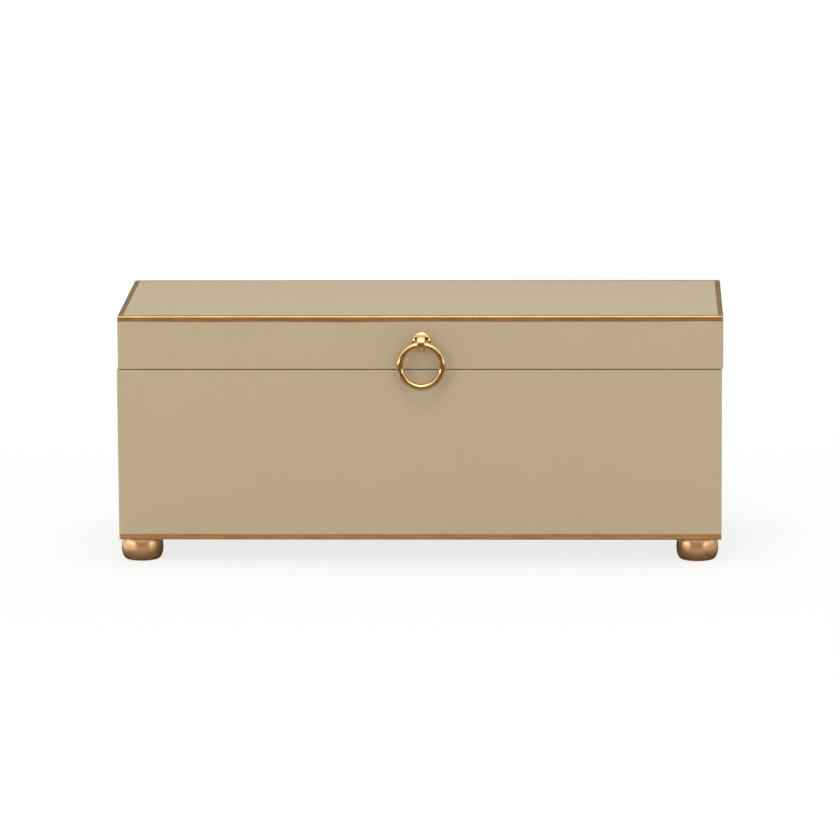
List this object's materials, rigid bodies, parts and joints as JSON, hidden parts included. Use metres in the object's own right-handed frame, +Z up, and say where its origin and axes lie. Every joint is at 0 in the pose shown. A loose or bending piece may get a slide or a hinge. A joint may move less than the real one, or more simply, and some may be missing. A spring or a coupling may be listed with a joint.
{
  "type": "lidded keepsake box",
  "caption": "Long, low lacquered box with a hinged lid on stop hinges, a hanging ring pull, lined inside and standing on turned bun feet.",
  "frame": {"origin": "on the table under the middle of the whole object, pull and hinges included", "axes": "+X to the right along the length, +Y from the front to the back, +Z up"},
  "size_m": [0.3567, 0.1476, 0.1478],
  "materials": {
    "lacquer": "satin taupe lacquer with hand-painted gold lines",
    "bronze_foot": "satin bronze-gold paint on turned wood",
    "polished_brass": "polished",
    "hinge_brass": "brushed",
    "brass_screw": "turned",
    "steel_screw": "zinc plated",
    "lining_cloth": "short-nap cloth on card",
    "felt": "pressed felt"
  },
  "bodies": {
    "box": {"body_front_board": "lacquer", "body_back_board": "lacquer", "body_left_board": "lacquer", "body_right_board": "lacquer", "bottom_panel": "lacquer", "foot_front_left": "bronze_foot", "foot_front_right": "bronze_foot", "foot_back_left": "bronze_foot", "foot_back_right": "bronze_foot", "foot_screws": "steel_screw", "body_front_lining": "lining_cloth", "body_back_lining": "lining_cloth", "body_left_lining": "lining_cloth", "body_right_lining": "lining_cloth", "floor_lining": "lining_cloth", "rest_dots": "felt", "hinge_screws_body": "brass_screw", "hinge_left_body_leaf": "hinge_brass", "hinge_left_pin": "hinge_brass", "hinge_right_body_leaf": "hinge_brass", "hinge_right_pin": "hinge_brass"},
    "lid": {"lid_front_rail": "lacquer", "lid_back_rail": "lacquer", "lid_left_rail": "lacquer", "lid_right_rail": "lacquer", "lid_top_panel": "lacquer", "lid_front_lining": "lining_cloth", "lid_back_lining": "lining_cloth", "lid_left_lining": "lining_cloth", "lid_right_lining": "lining_cloth", "lid_top_lining": "lining_cloth", "hinge_screws_lid": "brass_screw", "pull_rosette": "polished_brass", "pull_eye": "polished_brass", "pull_washer": "steel_screw", "pull_nut": "steel_screw", "hinge_left_lid_leaf": "hinge_brass", "hinge_right_lid_leaf": "hinge_brass"},
    "ring": {"pull_ring": "polished_brass"}
  },
  "joints": [
    {"name": "lid_hinge", "type": "hinge", "parent": "box", "child": "lid", "pos_m": [0, 0.07097, 0.11595], "axis": [-1, 0, 0], "range_deg": [0, 100]},
    {"name": "ring_swing", "type": "hinge", "parent": "lid", "child": "ring", "pos_m": [0.0017, -0.06923, 0.13185], "axis": [-1, 0, 0], "range_deg": [-13, 195]}
  ]
}
